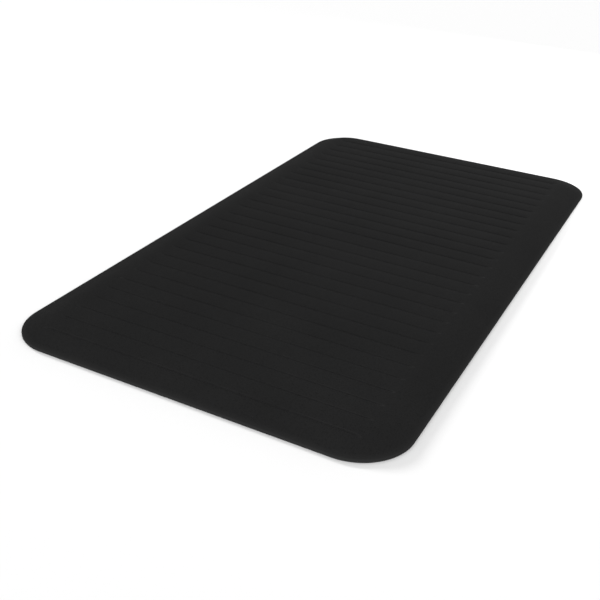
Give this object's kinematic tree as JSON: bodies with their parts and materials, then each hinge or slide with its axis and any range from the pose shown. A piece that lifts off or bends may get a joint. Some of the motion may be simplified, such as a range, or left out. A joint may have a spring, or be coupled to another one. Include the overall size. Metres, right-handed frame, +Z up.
{
  "type": "ribbed cushion floor mat",
  "caption": "Black cushioned exercise and standing mat with grooved ribs across its top, ramped borders, round corners and a grip base.",
  "frame": {"origin": "on the floor, under the middle of the mat", "axes": "+Z up through the mat, Y along its long side, X along its short side and along the grooves"},
  "size_m": [0.508, 0.914, 0.015],
  "materials": {
    "cover_rubber": "matte",
    "soft_foam": "matte",
    "firm_foam": "matte",
    "base_rubber": "matte"
  },
  "bodies": {
    "root": {"tread_cover": "cover_rubber", "cushion_foam": "soft_foam", "support_foam": "firm_foam", "grip_base": "base_rubber"}
  },
  "joints": []
}
